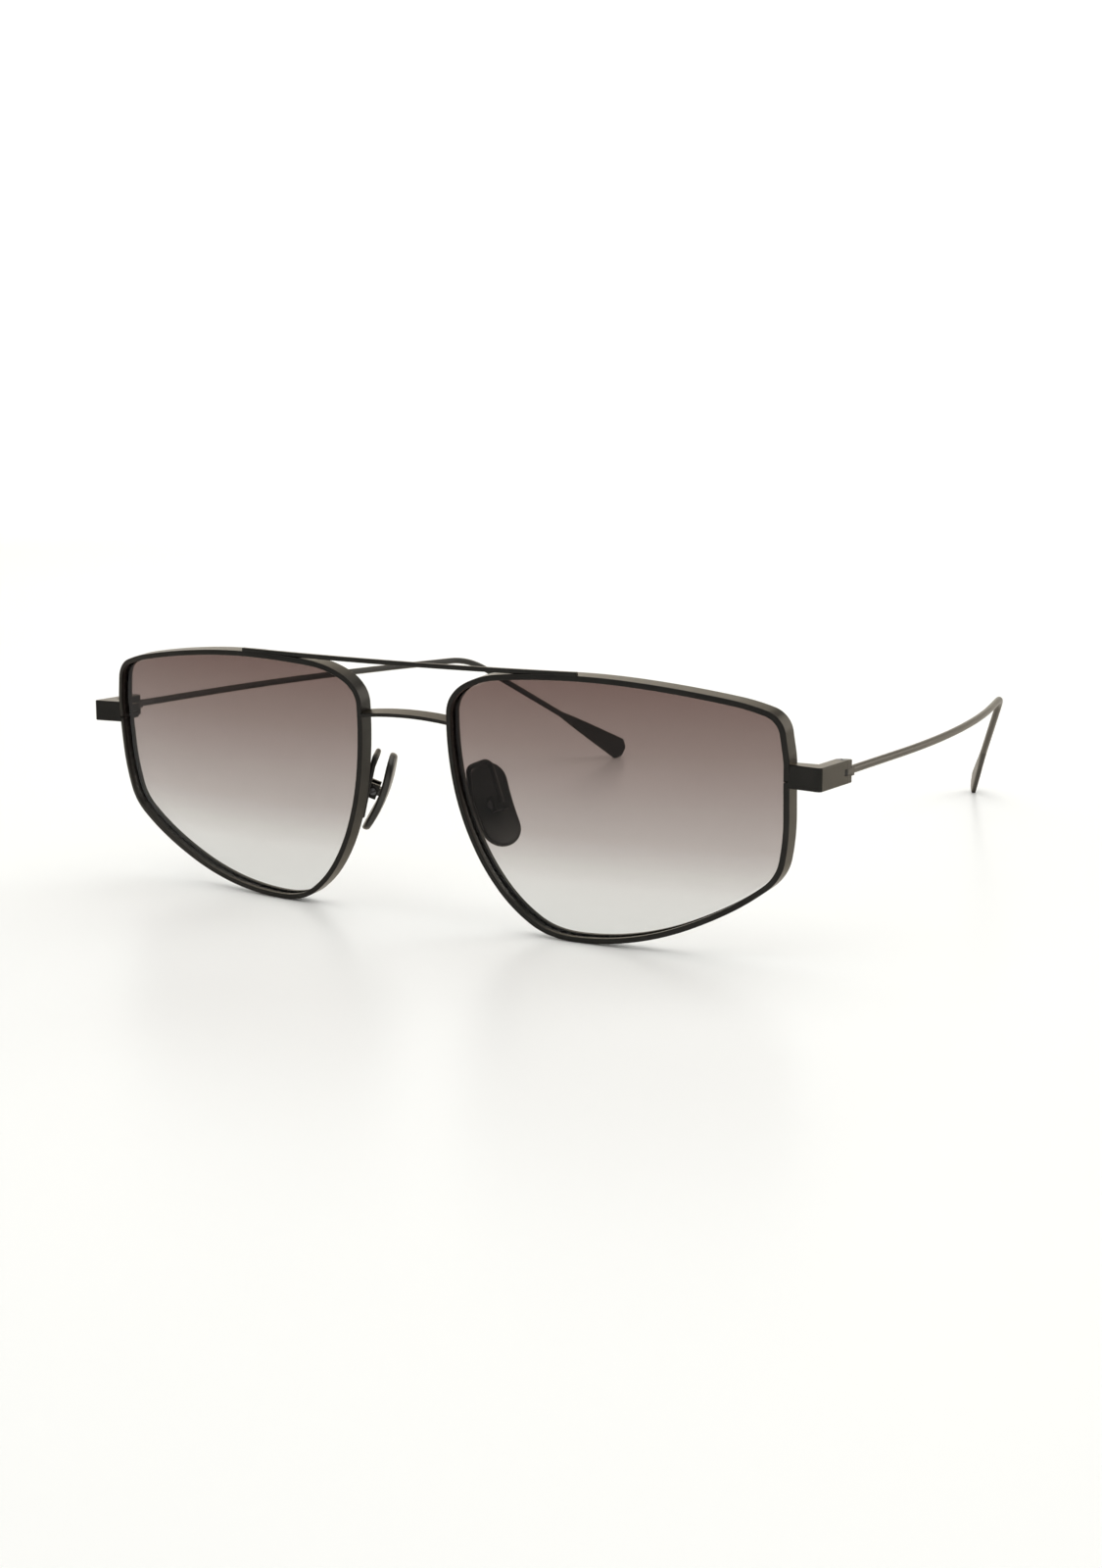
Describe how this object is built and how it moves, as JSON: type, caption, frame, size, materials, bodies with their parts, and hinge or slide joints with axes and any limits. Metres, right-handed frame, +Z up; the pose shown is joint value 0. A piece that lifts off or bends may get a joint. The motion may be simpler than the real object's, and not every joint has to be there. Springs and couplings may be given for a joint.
{
  "type": "aviator sunglasses",
  "caption": "Thin metal aviator sunglasses with gradient tinted lenses, a straight brow bar, folding wire temples and rocking nose pads.",
  "frame": {"origin": "on the ground, under the middle of the bounding box of the open sunglasses", "axes": "+Z up, the lenses face -Y, the temples run towards +Y, +X is the wearer's left"},
  "size_m": [0.1432, 0.1448, 0.0437],
  "materials": {
    "front_metal": "satin dark gunmetal plating",
    "temple_metal": "satin dark gunmetal plating",
    "screw_metal": "dark plated screw steel",
    "pad_metal": "matte dark gunmetal plating",
    "tinted_lens": "polished, brown tint at the top fading to nearly clear at the foot"
  },
  "bodies": {
    "front": {"brow_bar": "front_metal", "bridge": "front_metal", "eyewire_left": "front_metal", "eyewire_right": "front_metal", "lens_left": "tinted_lens", "lens_right": "tinted_lens", "end_piece_left": "front_metal", "end_piece_right": "front_metal", "hinge_screw_left": "screw_metal", "hinge_screw_right": "screw_metal", "upper_closing_block_left": "front_metal", "upper_closing_block_right": "front_metal", "lower_closing_block_left": "front_metal", "lower_closing_block_right": "front_metal", "closing_screw_left": "screw_metal", "closing_screw_right": "screw_metal", "pad_arm_left": "front_metal", "pad_arm_right": "front_metal", "pad_box_left": "front_metal", "pad_box_right": "front_metal", "pad_screw_left": "screw_metal", "pad_screw_right": "screw_metal"},
    "temple_left": {"temple_left": "temple_metal", "temple_barrel_left": "temple_metal"},
    "temple_right": {"temple_right": "temple_metal", "temple_barrel_right": "temple_metal"},
    "pad_left": {"nose_pad_left": "pad_metal", "pad_lug_left": "pad_metal"},
    "pad_right": {"nose_pad_right": "pad_metal", "pad_lug_right": "pad_metal"}
  },
  "joints": [
    {"name": "temple_left_fold", "type": "hinge", "parent": "front", "child": "temple_left", "pos_m": [0.07045, -0.05832, 0.0293], "axis": [0, 0.0349, 0.9994], "range_deg": [0, 79]},
    {"name": "temple_right_fold", "type": "hinge", "parent": "front", "child": "temple_right", "pos_m": [-0.07045, -0.05832, 0.0293], "axis": [0, -0.0349, -0.9994], "range_deg": [0, 76]},
    {"name": "pad_left_rock", "type": "hinge", "parent": "front", "child": "pad_left", "pos_m": [0.01242, -0.0637, 0.01988], "axis": [0.4755, 0.8739, 0.1011], "range_deg": [-10, 10]},
    {"name": "pad_right_rock", "type": "hinge", "parent": "front", "child": "pad_right", "pos_m": [-0.01242, -0.0637, 0.01988], "axis": [-0.4755, 0.8739, 0.1011], "range_deg": [-10, 10]}
  ]
}
